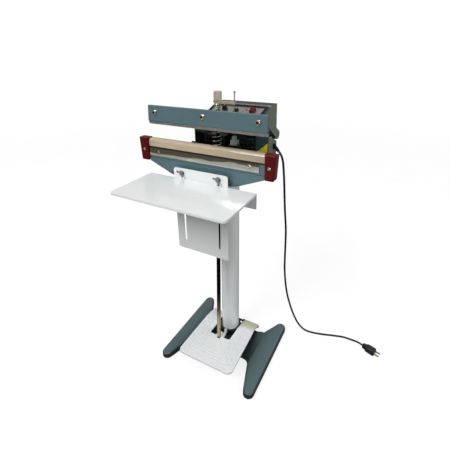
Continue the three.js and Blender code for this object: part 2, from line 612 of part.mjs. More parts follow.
const ROCKER_LIFT = 4;
const rocker = shapeOf([[-10, -5], [10, -5], [10, 6.5], [6, 8.5], [0, 7.4], [-10, 4.5]]);
add('power_rocker', alongX(rocker, -6.6, 6.6).translate(SWITCH.x, SWITCH.y, ROCKER_LIFT - 3), redPlastic,
  panelGroup);

// ---------------------------------------------------------------- pull rod and its fittings
const rodGroup = new THREE.Group();
rodGroup.position.set(0, ROD_FOOT.y, ROD_FOOT.z);
rodGroup.rotation.x = ROD_LEAN;
part.add(rodGroup);
const up = (worldZ) => (worldZ - ROD_FOOT.z) / Math.cos(ROD_LEAN);

const rodTop = up(926);
const rodProfile = [[0, -18], [3.9, -18], [3.9, 8], [ROD_LOW.r, 11], [ROD_LOW.r, up(ROD_LOW.top)],
  [ROD_R, up(ROD_LOW.top) + 3], [ROD_R, rodTop - 1], [ROD_R - 1, rodTop], [0, rodTop]];
add('pull_rod', turned(rodProfile, 20), darkSteel, rodGroup);
const nutBore = rodAlong('z', 3.9 + GAP, -30, 30, 0, 0, 18);
add('rod_lower_nut', carve([rodAlong('z', 8, -15, -8, 0, 0, 6), rodAlong('z', 9, -8, -6.5, 0, 0, 18)],
  [nutBore]),
  chrome, rodGroup);

const swivelGroup = new THREE.Group();
swivelGroup.position.set(0, SWIVEL.y, SWIVEL.z);
swivelGroup.rotation.x = ROD_LEAN;
part.add(swivelGroup);
add('rod_swivel_block', carve(
  [box(-SWIVEL.half, SWIVEL.half, -9, 9, -8, SWIVEL.seat),
    rodAlong('x', SWIVEL.pinR, -ARM.leverHalf, ARM.leverHalf, 0, 0, 20)],
  [rodAlong('z', SWIVEL.boreR, -20, 20, 0, 0, 20)],
), chrome, swivelGroup);

const barLow = up(905);
const barHigh = up(911.5);
add('pressure_spring', coilSpring(8.6, 1.3, up(SWIVEL.z + SWIVEL.seat + GAP), barLow - GAP, 4, 8), chrome,
  rodGroup);
const rodBore = rodAlong('z', ROD_R + GAP, barLow - 20, rodTop + GAP, 0, 0, 18);
const TRIGGER_X = 53;
add('trigger_bar', carve(
  [alongZ(roundedRect(-9.5, 57, -8, 8, 3), barLow, barHigh),
    rodAlong('x', 2.4, -13.5, -8, 0, (barLow + barHigh) / 2, 10)],
  [rodBore, rodAlong('z', 1.9, barLow - 5, barHigh + 5, TRIGGER_X, 0, 12)],
), cloth, rodGroup);
const capHigh = up(938);
add('pressure_cap', carve(
  [turned([[0, barHigh + GAP], [10.5, barHigh + GAP], [11.5, barHigh + 1.5], [11.5, capHigh - 1.2],
    [10.4, capHigh], [0, capHigh]], 24)],
  [rodBore],
), chrome, rodGroup);
add('trigger_screw', turned([[0, up(884)], [1.6, up(884)], [1.6, up(936)], [3.3, up(936.5)], [3.3, up(939)],
  [2.2, up(940)], [0, up(940)]], 12).translate(TRIGGER_X, 0, 0), chrome, rodGroup);

const deckSpringLow = DECK_TOP_Z + GAP;
const RETURN_SPRING = { y: -76, high: 846.2, lean: -Math.atan2(2.1, 99) };
add('return_spring', coilSpring(12.4, 1.2, 0, RETURN_SPRING.high - deckSpringLow - 1, 8, 8)
  .rotateX(RETURN_SPRING.lean).translate(0, RETURN_SPRING.y, deckSpringLow + 0.6), chrome);

// ---------------------------------------------------------------- pedal
// local frame: Y and Z from the bend line where the flat plate turns down to the hinge
const pedalGroup = new THREE.Group();
pedalGroup.position.set(0, PEDAL.bendY, PEDAL.bendZ);
pedalGroup.rotation.x = PEDAL_TILT;
part.add(pedalGroup);

function pedalOutline(inset) {
  const front = PEDAL.frontY - PEDAL.bendY + inset;
  const wide = PEDAL.frontHalf - inset;
  const narrow = PEDAL.rearHalf - inset;
  const r = Math.max(5, 18 - inset * 0.6);
  const shape = new THREE.Shape();
  const [left, right] = [PEDAL.frontX - wide + r, PEDAL.frontX + wide - r];
  shape.moveTo(left, front);
  shape.lineTo(right, front);
  shape.absarc(right, front + r, r, -Math.PI / 2, 0);
  shape.lineTo(PEDAL.rearX + narrow, 0);
  shape.lineTo(PEDAL.rearX - narrow, 0);
  shape.absarc(left, front + r, r, Math.PI, 1.5 * Math.PI);
  return shape;
}

// raised tread line: a U that runs up the left side, across the front and back up the right
function treadLine(inset, rearY) {
  const width = 3;
  const outer = toSolid(alongZ(pedalOutline(inset), -1, 1.1));
  const inner = toSolid(alongZ(pedalOutline(inset + width), -5, 5));
  const rear = toSolid(box(-200, 200, rearY, 50, -5, 5));
  return toGeometry(outer.subtract(inner).subtract(rear));
}

function pedalPlate() {
  const { thick, rim, bendY } = PEDAL;
  const plate = toSolid(alongZ(pedalOutline(0), -rim, 0));
  const under = toSolid(alongZ(pedalOutline(thick), -rim - 5, -thick)).subtract(
    toSolid(box(-PEDAL_CUT.half - thick, PEDAL_CUT.half + thick, PEDAL_CUT.endY - bendY - thick, 20,
      -40, 20)));
  let solid = plate.subtract(under);
  const opening = toSolid(alongZ(roundedRect(-PEDAL_CUT.half, PEDAL_CUT.half, PEDAL_CUT.endY - bendY, 40,
    [PEDAL_CUT.corner, PEDAL_CUT.corner, 0, 0]), -40, 40));
  const tongue = toSolid(box(-PEDAL_CUT.tongueHalf, PEDAL_CUT.tongueHalf, PEDAL_CUT.endY - bendY - 6,
    PEDAL_CUT.tongueEndY - bendY, -rim, 0));
  solid = solid.subtract(opening).add(tongue);
  const underTongue = box(-PEDAL_CUT.tongueHalf + 2, PEDAL_CUT.tongueHalf - 2, -150, -70, -20, -thick);
  const rodHole = box(-5.5, 5.5, ROD_FOOT.y - bendY - 7, ROD_FOOT.y - bendY + 7, -20, 20);
  solid = solid.subtract(toSolid(underTongue)).subtract(toSolid(rodHole));
  const lug = alongX(shapeOf([[-54, -2], [-54, 3], [-52, 15], [-48, 18], [-44, 15], [-42.2, -2]]), 8, 14.8);
  solid = solid.add(toSolid(lug));
  for (const [inset, rearY] of [[9, -3], [21, -3], [33, -3], [45, -68], [57, -82]]) {
    solid = solid.add(toSolid(treadLine(inset, rearY)));
  }
  return solid;
}

// each rear arm curls down from the plate to a knuckle on the hinge pin
function pedalWhole() {
  let solid = pedalPlate();
  const toWorld = (geometry) => geometry.translate(0, -PEDAL.bendY, -PEDAL.bendZ).rotateX(-PEDAL_TILT);
  const curl = [[-16, 47.6], [-16, 51.4], [-2, 50.4], [12, 48], [26, 44.4], [38, 40.2], [47.5, 36], [49, 33],
    [43, 25.5], [37, 33.5], [26, 39.8], [12, 43.8], [-2, 46.4]];
  for (const side of [-1, 1]) {
    const near = side > 0 ? PEDAL_CUT.half + 1.5 : pinEnds[0];
    const far = side > 0 ? pinEnds[1] : -PEDAL_CUT.half - 1.5;
    const knuckle = rodAlong('x', PEDAL_HINGE.knuckleR, near, far, PEDAL_HINGE.y, PEDAL_HINGE.z, 20);
    const plan = alongZ(roundedRect(near, far, -30, 50.5, [0, 0, 8, 8]), 0, 80);
    const arm = toSolid(alongX(shapeOf(curl), near, far)).add(toSolid(knuckle)).intersect(toSolid(plan));
    solid = solid.add(toSolid(toWorld(toGeometry(arm))));
  }
  const bore = rodAlong('x', PEDAL_HINGE.holeR, -150, 150, PEDAL_HINGE.y, PEDAL_HINGE.z, 20);
  return toGeometry(solid.subtract(toSolid(toWorld(bore))));
}
add('pedal_plate', pedalWhole(), whitePaint, pedalGroup);

// ---------------------------------------------------------------- work table
function tableOutline(inset) {
  const half = TABLE.half - inset;
  const corner = TABLE.corner - inset;
  return roundedRect(-half, half, TABLE_FRONT_Y + inset, TABLE.rearY - inset, [corner, corner, 0, 0]);
}
add('work_table', carve(
  [alongZ(tableOutline(0), TABLE.top - TABLE.lip, TABLE.top),
    box(-TABLE.half, TABLE.half, TABLE.rearY - TABLE.sheet, TABLE.rearY, TABLE.top - TABLE.flange,
      TABLE.top - 1)],
  [alongZ(tableOutline(TABLE.sheet), TABLE.top - 30, TABLE.top - TABLE.sheet),
    ...[-1, 1].map((side) => rodAlong('y', BOLT.r + 0.3, -180, -170, side * BOLT.x, TABLE.boltZ, 16))],
), whitePaint);

// bolts that clamp the table's flange to the slots of the bracket: head, shank and nut as one piece
function flangeBolt(x) {
  const front = TABLE.rearY - TABLE.sheet - GAP;
  const back = BRACKET.rear + GAP;
  return carve([
    rodAlong('y', 5.2, front - 4, front, x, TABLE.boltZ, 6),
    rodAlong('y', BOLT.r, front - 1, back + 7, x, TABLE.boltZ, 16),
    rodAlong('y', 7, back, back + 1.2, x, TABLE.boltZ, 18),
    rodAlong('y', 5.2, back + 1, back + 5.5, x, TABLE.boltZ, 6),
  ]);
}
add('flange_bolt_left', flangeBolt(-BOLT.x), chrome);
add('flange_bolt_right', flangeBolt(BOLT.x), chrome);

function slottedBracket() {
  const plate = roundedRect(-BRACKET.half, BRACKET.half, BRACKET.bottom, BRACKET.top,
    [3, 3, BRACKET.corner, BRACKET.corner]);
  for (const side of [-1, 1]) {
    const x = side * BOLT.x;
    plate.holes.push(roundedRect(x - BOLT.slotHalf, x + BOLT.slotHalf, BOLT.slotBottom, BOLT.z + 4,
      BOLT.slotHalf));
  }
  return alongY(plate, BRACKET.front, BRACKET.rear);
}
add('table_bracket', slottedBracket(), whitePaint);

// wing bolts that clamp the bracket to the body casting
function wingBolt(x) {
  const head = turned([[0, 0], [8, 0], [8, 1.2], [5.2, 1.6], [5.2, 7], [0, 7.6]], 16).rotateX(Math.PI / 2);
  const shank = rodAlong('y', BOLT.r, -1, 22, 0, 0, 16);
  const wing = shapeOf([[4, -3], [11.5, -6.5], [13, -11.5], [10.5, -14], [4, -8], [-4, -8], [-10.5, -14],
    [-13, -11.5], [-11.5, -6.5], [-4, -3]]);
  const whole = carve([head, shank, alongZ(wing, -1.3, 1.3)]);
  return whole.rotateY(THREE.MathUtils.degToRad(35)).translate(x, BRACKET.front - GAP, BOLT.z);
}
add('wing_bolt_left', wingBolt(-BOLT.x), chrome);
add('wing_bolt_right', wingBolt(BOLT.x), chrome);

// ---------------------------------------------------------------- supply cord
const CORD_R = 3.5;
// gland: a nut on the wall and a tapered boot that already points down with the cord
const GLAND = { y: 45, z: 768, bootStart: 3, bootLength: 21, droop: THREE.MathUtils.degToRad(45) };

function cordGland() {
  const nut = rodAlong('x', 9, HOUSING.half + GAP, HOUSING.half + 6, GLAND.y, GLAND.z, 6);
  const stub = rodAlong('x', 6, HOUSING.half - 6, HOUSING.half + 3, GLAND.y, GLAND.z, 16);
  const boot = turned([[0, 0], [6, 0], [6.2, 5], [4.4, GLAND.bootLength], [0, GLAND.bootLength]], 16)
    .rotateY(Math.PI / 2 + GLAND.droop).translate(HOUSING.half + GLAND.bootStart, GLAND.y, GLAND.z);
  return carve([nut, stub, boot]);
}
add('cord_gland', cordGland(), blackPlastic);

const cordRoute = [
  [148.1, 45, 752.9], [151.5, 45.1, 749], [156, 45.5, 742], [160, 46, 732], [163.3, 47, 716], [165, 49, 697],
  [168, 53, 655], [170.5, 58, 600], [174, 63, 540], [178, 69, 480], [178.5, 74, 425], [178, 79, 370],
  [178, 85, 310], [181.5, 92, 250], [188.5, 100, 190], [201.5, 109, 130], [217.5, 119, 76], [237, 127, 34],
  [260, 133, 10.5], [288, 139, 4.1], [325, 148, 4.1], [372, 164, 4.1], [404, 173, 4.1], [434, 173, 5.4],
  [451, 170.2, 8.4], [463, 167, 9], [475, 163, 9],
].map(([x, y, z]) => new THREE.Vector3(x, y, z));
const cordCurve = new THREE.CatmullRomCurve3(cordRoute, false, 'centripetal');

function cordSection(radius, sides) {
  const section = new THREE.Shape();
  for (let i = 0; i < sides; i += 1) {
    const angle = (2 * Math.PI * i) / sides;
    const method = i === 0 ? 'moveTo' : 'lineTo';
    section[method](radius * Math.cos(angle), radius * Math.sin(angle));
  }
  return section;
}
add('power_cord', new THREE.ExtrudeGeometry(cordSection(CORD_R, 8), { steps: 56, extrudePath: cordCurve }),
  blackRubber);

// moulded plug lying flat, in line with the end of the cord
const plugGroup = new THREE.Group();
plugGroup.position.set(475, 163, 9);
plugGroup.rotation.z = Math.atan2(163 - 167, 475 - 463);
part.add(plugGroup);
const plugBody = shapeOf([[0.5, -5], [10, -6], [18, -12], [42, -13], [46, -11], [46, 11], [42, 13], [18, 12],
  [10, 6], [0.5, 5]]);
add('mains_plug', carve([alongZ(plugBody, -8.8, 8.8), box(45, 63, -8.4, -6.8, -3.2, 3.2),
  box(45, 63, 6.8, 8.4, -3.2, 3.2)]), blackRubber, plugGroup);

export default part;
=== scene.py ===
"""Looks of the foot-pedal impulse heat sealer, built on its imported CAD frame. Metres, +Z up."""
import json
import math

import bmesh
import bpy
from mathutils import Matrix, Vector


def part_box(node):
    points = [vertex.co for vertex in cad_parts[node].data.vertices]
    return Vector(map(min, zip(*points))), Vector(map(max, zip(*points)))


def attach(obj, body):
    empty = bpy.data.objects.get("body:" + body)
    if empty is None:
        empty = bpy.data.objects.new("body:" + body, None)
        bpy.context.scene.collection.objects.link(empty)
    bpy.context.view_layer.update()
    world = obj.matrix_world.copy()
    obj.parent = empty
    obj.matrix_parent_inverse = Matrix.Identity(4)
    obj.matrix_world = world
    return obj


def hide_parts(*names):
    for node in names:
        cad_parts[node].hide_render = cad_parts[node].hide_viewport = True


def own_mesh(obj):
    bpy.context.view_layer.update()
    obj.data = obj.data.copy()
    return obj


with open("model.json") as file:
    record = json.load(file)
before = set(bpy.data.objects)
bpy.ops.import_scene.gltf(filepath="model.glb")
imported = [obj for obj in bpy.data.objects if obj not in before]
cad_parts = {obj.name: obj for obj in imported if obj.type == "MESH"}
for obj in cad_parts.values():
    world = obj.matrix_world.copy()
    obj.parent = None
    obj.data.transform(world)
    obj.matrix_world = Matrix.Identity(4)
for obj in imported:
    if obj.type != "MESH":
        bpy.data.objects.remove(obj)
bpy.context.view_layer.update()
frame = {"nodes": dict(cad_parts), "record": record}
nodes = frame["nodes"]
MM = 0.001
ORIGIN_SHIFT_Y = 0.1165     # the column's axis lies this far behind the origin


def at(x, y, z):
    """A point given in millimetres from the column's axis, in the row frame in metres."""
    return Vector((x * MM, y * MM + ORIGIN_SHIFT_Y, z * MM))


# ------------------------------------------------------------------ camera
CAMERA_PLACE = (0.4793, -0.7722, 1.048)
CAMERA_YAW, CAMERA_PITCH, CAMERA_ROLL = 28.47, 22.15, 0.51      # degrees
CAMERA_LENS, CAMERA_SENSOR = 26.59, 36                          # mm
CAMERA_SHIFT_X, CAMERA_SHIFT_Y = -0.0086, -0.0926
CAMERA_REACH = 60

camera_data = bpy.data.cameras.new("camera")
camera_data.lens = CAMERA_LENS
camera_data.sensor_width = CAMERA_SENSOR
camera_data.shift_x = CAMERA_SHIFT_X
camera_data.shift_y = CAMERA_SHIFT_Y
camera_data.clip_end = CAMERA_REACH
camera = bpy.data.objects.new("camera", camera_data)
camera.matrix_world = (
    Matrix.Translation(CAMERA_PLACE)
    @ Matrix.Rotation(math.radians(CAMERA_YAW), 4, "Z")
    @ Matrix.Rotation(math.radians(90 - CAMERA_PITCH), 4, "X")
    @ Matrix.Rotation(math.radians(-CAMERA_ROLL), 4, "Z")
)
bpy.context.collection.objects.link(camera)
bpy.context.scene.camera = camera


# ------------------------------------------------------------------ material helpers
def new_material(name):
    material = bpy.data.materials.new(name)
    material.use_nodes = True
    tree = material.node_tree
    return material, tree, tree.nodes["Principled BSDF"]


def node(tree, kind, **values):
    """A node whose inputs are set by name; properties are given with a leading underscore."""
    made = tree.nodes.new(kind)
    for key, value in values.items():
        if key.startswith("_"):
            setattr(made, key[1:], value)
        else:
            made.inputs[key.replace("_", " ")].default_value = value
    return made


def object_place(tree, stretch=(1, 1, 1)):
    coordinates = node(tree, "ShaderNodeTexCoord")
    mapping = node(tree, "ShaderNodeMapping")
    mapping.inputs["Scale"].default_value = stretch
    tree.links.new(coordinates.outputs["Object"], mapping.inputs["Vector"])
    return mapping.outputs["Vector"]


def noise(tree, place, scale, detail=3.0, roughness=0.5):
    made = node(tree, "ShaderNodeTexNoise", Scale=scale, Detail=detail, Roughness=roughness)
    tree.links.new(place, made.inputs["Vector"])
    return made.outputs["Fac"]


def ramp(tree, source, stops):
    """Colours blended along source, by (position, colour) stops."""
    made = node(tree, "ShaderNodeValToRGB")
    elements = made.color_ramp.elements
    while len(elements) < len(stops):
        elements.new(0.5)
    for element, (position, color) in zip(elements, stops):
        element.position = position
        element.color = (*color, 1)
    tree.links.new(source, made.inputs["Fac"])
    return made.outputs["Color"]


NOISE_LOW, NOISE_HIGH = 0.3, 0.7     # nearly all of a noise texture's values lie between these


def spread(tree, source, low, high):
    """A noise's usual values stretched over low to high."""
    made = node(tree, "ShaderNodeMapRange")
    made.inputs["From Min"].default_value = NOISE_LOW
    made.inputs["From Max"].default_value = NOISE_HIGH
    made.inputs["To Min"].default_value = low
    made.inputs["To Max"].default_value = high
    tree.links.new(source, made.inputs["Value"])
    return made.outputs["Result"]


def bump(tree, height, distance, strength=1.0, under=None):
    made = node(tree, "ShaderNodeBump", Strength=strength, Distance=distance)
    tree.links.new(height, made.inputs["Height"])
    if under is not None:
        tree.links.new(under, made.inputs["Normal"])
    return made.outputs["Normal"]


def tint(color, factor):
    return tuple(min(1.0, c * factor) for c in color)


def srgb(red, green, blue):
    """A colour given in display values from 0 to 255, as the linear values that shaders take."""
    def linear(value):
        value /= 255
        return value / 12.92 if value <= 0.04045 else ((value + 0.055) / 1.055) ** 2.4
    return linear(red), linear(green), linear(blue)


def object_axis(tree, axis):
    """One coordinate of the surface in its object's space, in metres."""
    coordinates = node(tree, "ShaderNodeTexCoord")
    split = node(tree, "ShaderNodeSeparateXYZ")
    tree.links.new(coordinates.outputs["Object"], split.inputs[0])
    return split.outputs[axis]


def normal_up(tree):
    """How far the surface faces up: 1 on a level top, 0 on a wall."""
    facing = node(tree, "ShaderNodeNewGeometry")
    split = node(tree, "ShaderNodeSeparateXYZ")
    tree.links.new(facing.outputs["Normal"], split.inputs[0])
    return split.outputs["Z"]


def between(tree, value, low, high):
    """0 below low, 1 above high, smooth in between; swapped when low is the larger."""
    made = node(tree, "ShaderNodeMapRange", _interpolation_type="SMOOTHSTEP")
    made.inputs["From Min"].default_value = low
    made.inputs["From Max"].default_value = high
    tree.links.new(value, made.inputs["Value"])
    return made.outputs["Result"]


def calc(tree, operation, a, b=None):
    made = node(tree, "ShaderNodeMath", _operation=operation)
    for socket, value in zip(made.inputs, (a, b)):
        if isinstance(value, (int, float)):
            socket.default_value = value
        elif value is not None:
            tree.links.new(value, socket)
    return made.outputs[0]


def mixed(tree, factor, a, b, blend="MIX"):
    """Color a turning to b as factor goes from 0 to 1; each is a socket or a plain color."""
    made = node(tree, "ShaderNodeMix", _data_type="RGBA", _blend_type=blend)
    colors = [socket for socket in made.inputs if socket.type == "RGBA"]
    for socket, value in ((made.inputs["Factor"], factor), (colors[0], a), (colors[1], b)):
        if isinstance(value, (int, float)):
            socket.default_value = value
        elif isinstance(value, tuple):
            socket.default_value = (*value, 1)
        else:
            tree.links.new(value, socket)
    return next(out for out in made.outputs if out.type == "RGBA")


def base_color(tree):
    """The socket that feeds the shader's color now, to be mixed into something else."""
    return tree.nodes["Principled BSDF"].inputs["Base Color"].links[0].from_socket


def set_color(tree, socket):
    tree.links.new(socket, tree.nodes["Principled BSDF"].inputs["Base Color"])


def turn_color(tree, factor, color):
    """Turns the shader's color to the given one as factor goes from 0 to 1."""
    set_color(tree, mixed(tree, factor, base_color(tree), color))


def painted(name, color, roughness=0.4, peel=0.00002, peel_scale=700, coat=0.3, metallic=0.0,
            cells=None, variation=0.04):
    """Enamel or powder coat: slow colour drift, faint dust, orange peel, and hammered cells if given."""
    material, tree, shader = new_material(name)
    place = object_place(tree)
    drift = noise(tree, place, 7, 3)
    body = ramp(tree, drift, [(0.32, tint(color, 1 - variation)), (0.68, tint(color, 1 + variation))])
    if cells:
        fleck = node(tree, "ShaderNodeTexVoronoi", Scale=cells, Randomness=1.0)
        tree.links.new(place, fleck.inputs["Vector"])
        shade = ramp(tree, fleck.outputs["Distance"], [(0.0, (1, 1, 1)), (0.75, (0.72, 0.74, 0.76))])
        body = mixed(tree, 0.4, body, shade, "MULTIPLY")
    set_color(tree, body)
    wear = noise(tree, place, 24, 4, 0.55)
    tree.links.new(spread(tree, wear, roughness * 0.9, roughness * 1.12), shader.inputs["Roughness"])
    surface = bump(tree, noise(tree, place, peel_scale, 2), peel)
    if cells:
        dents = node(tree, "ShaderNodeTexVoronoi", Scale=cells, Randomness=1.0, _feature="SMOOTH_F1")
        dents.inputs["Smoothness"].default_value = 0.6
        tree.links.new(place, dents.inputs["Vector"])
        surface = bump(tree, dents.outputs["Distance"], 0.00012, 0.6, surface)
    tree.links.new(surface, shader.inputs["Normal"])
    shader.inputs["Metallic"].default_value = metallic
    shader.inputs["Coat Weight"].default_value = coat
    shader.inputs["Coat Roughness"].default_value = 0.1
    return material


def metal(name, color, roughness, grain=(1, 1, 1), grain_scale=900, scratch=0.00002, dirt=0.1,
          uneven=0.06, metallic=1.0):
    """Plated or brushed metal: grain stretched along an axis, finger marks in the roughness."""
    material, tree, shader = new_material(name)
    place = object_place(tree)
    streaks = noise(tree, object_place(tree, grain), grain_scale, 4, 0.65)
    marks = noise(tree, place, 46, 5, 0.6)
    set_color(tree, ramp(tree, marks, [(NOISE_LOW, tint(color, 1 - dirt)),
                                       (NOISE_HIGH, tint(color, 1 + dirt * 0.4))]))
    shader.inputs["Metallic"].default_value = metallic
    gloss = calc(tree, "ADD", spread(tree, streaks, -uneven, uneven),
                 spread(tree, marks, roughness * 0.85, roughness * 1.2))
    tree.links.new(gloss, shader.inputs["Roughness"])
    tree.links.new(bump(tree, streaks, scratch), shader.inputs["Normal"])
    return material


def moulded(name, color, roughness=0.4, grain=0.00003, grain_scale=1400, coat=0.0, specular=0.5):
    """Moulded plastic or rubber with a fine grain and slightly uneven gloss."""
    material, tree, shader = new_material(name)
    place = object_place(tree)
    drift = noise(tree, place, 26, 4)
    set_color(tree, ramp(tree, drift, [(NOISE_LOW, tint(color, 0.9)), (NOISE_HIGH, tint(color, 1.1))]))
    tree.links.new(spread(tree, noise(tree, place, 60, 5), roughness * 0.85, roughness * 1.15),
                   shader.inputs["Roughness"])
    tree.links.new(bump(tree, noise(tree, place, grain_scale, 2), grain), shader.inputs["Normal"])
    shader.inputs["Coat Weight"].default_value = coat
    shader.inputs["Specular IOR Level"].default_value = specular
    return material


def woven_cloth(name, color):
    """PTFE coated glass cloth: a fine plain weave under a glossy skin, darker towards the right."""
    material, tree, shader = new_material(name)
    place = object_place(tree)
    marks = noise(tree, object_place(tree, (5, 30, 30)), 3, 5, 0.6)
    body = ramp(tree, marks, [(0.25, tint(color, 0.86)), (0.5, color), (0.75, tint(color, 1.08))])
    towards_right = between(tree, object_axis(tree, "X"), -0.12, 0.2)
    set_color(tree, mixed(tree, calc(tree, "MULTIPLY", towards_right, 0.28), body, tint(color, 0.35)))
    warp = node(tree, "ShaderNodeTexWave", _bands_direction="X", Scale=380.0, Distortion=0.3)
    weft = node(tree, "ShaderNodeTexWave", _bands_direction="Z", Scale=380.0, Distortion=0.3)
    for wave in (warp, weft):
        tree.links.new(place, wave.inputs["Vector"])
    weave = calc(tree, "MULTIPLY", warp.outputs["Fac"], weft.outputs["Fac"])
    ripple = bump(tree, noise(tree, object_place(tree, (1, 4, 4)), 18, 2), 0.0004, 0.4)
    tree.links.new(bump(tree, weave, 0.00002, 0.5, ripple), shader.inputs["Normal"])
    tree.links.new(spread(tree, noise(tree, place, 50, 4), 0.16, 0.26), shader.inputs["Roughness"])
    shader.inputs["Coat Weight"].default_value = 0.6
    shader.inputs["Coat Roughness"].default_value = 0.08
    return material


HAMMERED_BLUE, GREY_GREEN = srgb(86, 114, 121), srgb(104, 111, 99)
SLOT_MATERIALS = {
    "blue_paint": painted("hammered_blue", HAMMERED_BLUE, 0.42, cells=520, metallic=0.25, coat=0.2),
    "green_paint": painted("grey_green_enamel", GREY_GREEN, 0.46, coat=0.1),
    "white_paint": painted("white_powder_coat", srgb(222, 225, 226), 0.2, 0.00001, 700, 0.5,
                           variation=0.006),
    "chrome": metal("bright_plate", srgb(214, 208, 194), 0.2),
    "aluminium": metal("satin_aluminium", srgb(176, 176, 170), 0.36, (0.05, 1, 1)),
    "red_plastic": moulded("dark_red_plastic", srgb(82, 9, 8), 0.3, specular=0.16),
    "black_plastic": moulded("black_plastic", srgb(12, 12, 13), 0.4, specular=0.25),
    "cloth": woven_cloth("ptfe_cloth", srgb(180, 165, 140)),
    "black_rubber": moulded("black_rubber", srgb(19, 19, 20), 0.5, 0.00005, 900, specular=0.4),
    "silicone": moulded("pale_silicone", srgb(186, 181, 172), 0.6, 0.00003, 1100),
    "yellow_vinyl": moulded("yellow_vinyl", srgb(214, 184, 30), 0.38, 0.00002, 1600),
    "board_green": moulded("board_green", srgb(30, 52, 40), 0.45, 0.00004, 1200),
}


# The materials below are for single nodes, and one for the three jaw screws. Where their color
# changes is given in millimetres from the column's axis, or from the floor for heights.
HOUSING_INNER_X, HOUSING_INNER_REAR = 129.2, 69.6
HOUSING_LEFT_EDGE_X, HOUSING_FRONT_EDGE_Y = -127, 4


def below(tree, axis, limit):
    """1 where the coordinate is less than limit, else 0."""
    return calc(tree, "LESS_THAN", object_axis(tree, axis), limit)


def housing_enamel_painted_shade():
    """Enamel outside; inside the walls, painted shade in near black, and the same dark on the sheet's left
    front edge.
    """
    material = painted("housing_enamel", GREY_GREEN, 0.46, coat=0.1)
    tree = material.node_tree
    inside = calc(tree, "LESS_THAN", calc(tree, "ABSOLUTE", object_axis(tree, "X")), HOUSING_INNER_X * MM)
    deep = below(tree, "Y", HOUSING_INNER_REAR * MM + ORIGIN_SHIFT_Y)
    left = below(tree, "X", HOUSING_LEFT_EDGE_X * MM)
    front = below(tree, "Y", HOUSING_FRONT_EDGE_Y * MM + ORIGIN_SHIFT_Y)
    edge = calc(tree, "MULTIPLY", left, front)
    # painted shade: the inner walls turn near black, where the housing is in shade
    turn_color(tree, calc(tree, "MAXIMUM", calc(tree, "MULTIPLY", inside, deep), edge), srgb(22, 24, 24))
    return material


def hood_enamel():
    """Grey-green enamel, with painted shade darkening the top face."""
    material = painted("hood_enamel", srgb(108, 115, 103), 0.5, coat=0.0)
    tree = material.node_tree
    # painted shade: faces that look up are darkened
    turn_color(tree, between(tree, normal_up(tree), 0.5, 0.9), srgb(40, 47, 44))
    return material


JAW_BAR_SHADOW_FROM = 775


def jaw_bar_paint_and_shadow():
    """Blue paint up to the clamp strip, and a painted shadow above it, under the cloth's edge."""
    material = painted("jaw_bar_paint_and_shadow", HAMMERED_BLUE, 0.42, cells=520, metallic=0.25, coat=0.2)
    tree = material.node_tree
    height = object_axis(tree, "Z")
    # painted shadow: dark above the clamp strip, under the cloth's edge
    turn_color(tree, between(tree, height, JAW_BAR_SHADOW_FROM * MM, (JAW_BAR_SHADOW_FROM + 1) * MM),
               srgb(26, 25, 25))
    return material


PEDAL_WHITE_Y, PEDAL_SHADED_Y = -18, 14       # painted shade fades in between these
PEDAL_WHITE_X, PEDAL_SHADED_X = 0, 40


def pedal_enamel():
    """White powder coat, with painted shade in warm grey over the right rear arm where it bends down to the
    hinge.
    """
    material = painted("pedal_powder_coat", srgb(216, 219, 220), 0.27, 0.000001, 500, 0.3,
                       variation=0.01)
    tree = material.node_tree
    behind = between(tree, object_axis(tree, "Y"), PEDAL_WHITE_Y * MM + ORIGIN_SHIFT_Y,
                     PEDAL_SHADED_Y * MM + ORIGIN_SHIFT_Y)
    right = between(tree, object_axis(tree, "X"), PEDAL_WHITE_X * MM, PEDAL_SHADED_X * MM)
    # painted shade on the bent-down end of the right rear arm
    turn_color(tree, calc(tree, "MULTIPLY", behind, right), srgb(188, 188, 170))
    return material


BASE_X = 12                                   # the base's middle lies this far right of the column
FOOT_DARK_ASIDE, FOOT_UNSHADED_ASIDE = 84, 168   # from the base's middle; painted shade fades out between these


def foot_enamel():
    """Dark blue-green enamel, with painted shade: almost black on the steep sides and darker towards the
    column.
    """
    material = painted("base_enamel", srgb(70, 91, 95), 0.42, 0.00004, 500, 0.1, variation=0.05)
    tree = material.node_tree
    # painted shade: steep sides almost black, and the top darker near the column
    flat = between(tree, normal_up(tree), 0.45, 0.985)
    aside = calc(tree, "ABSOLUTE", calc(tree, "SUBTRACT", object_axis(tree, "X"), BASE_X * MM))
    unshaded = between(tree, aside, FOOT_DARK_ASIDE * MM, FOOT_UNSHADED_ASIDE * MM)
    top = mixed(tree, unshaded, srgb(26, 38, 39), base_color(tree))
    set_color(tree, mixed(tree, flat, srgb(14, 20, 22), top))
    return material


ROD_DARK_HEIGHT, ROD_PALE_HEIGHT = 260, 120


def rod_steel():
    """Dark oiled rod, turning pale tan over its lowest stretch."""
    material = metal("pull_rod_steel", srgb(24, 17, 12), 0.24, (1, 1, 0.04))
    tree = material.node_tree
    height = object_axis(tree, "Z")
    turn_color(tree, between(tree, height, ROD_DARK_HEIGHT * MM, ROD_PALE_HEIGHT * MM),
               srgb(176, 164, 138))
    return material


JAW_SCREW_SPACING, JAW_SCREW_HEIGHT = 160.6, 879.9
JAW_SCREW_SOCKET = (3.4, 2.9)        # radii between which the bright head turns to painted shade, inwards
JAW_SCREW_SHADOW_RING = (7.7, 8.1)        # and outwards, to a painted shadow ring
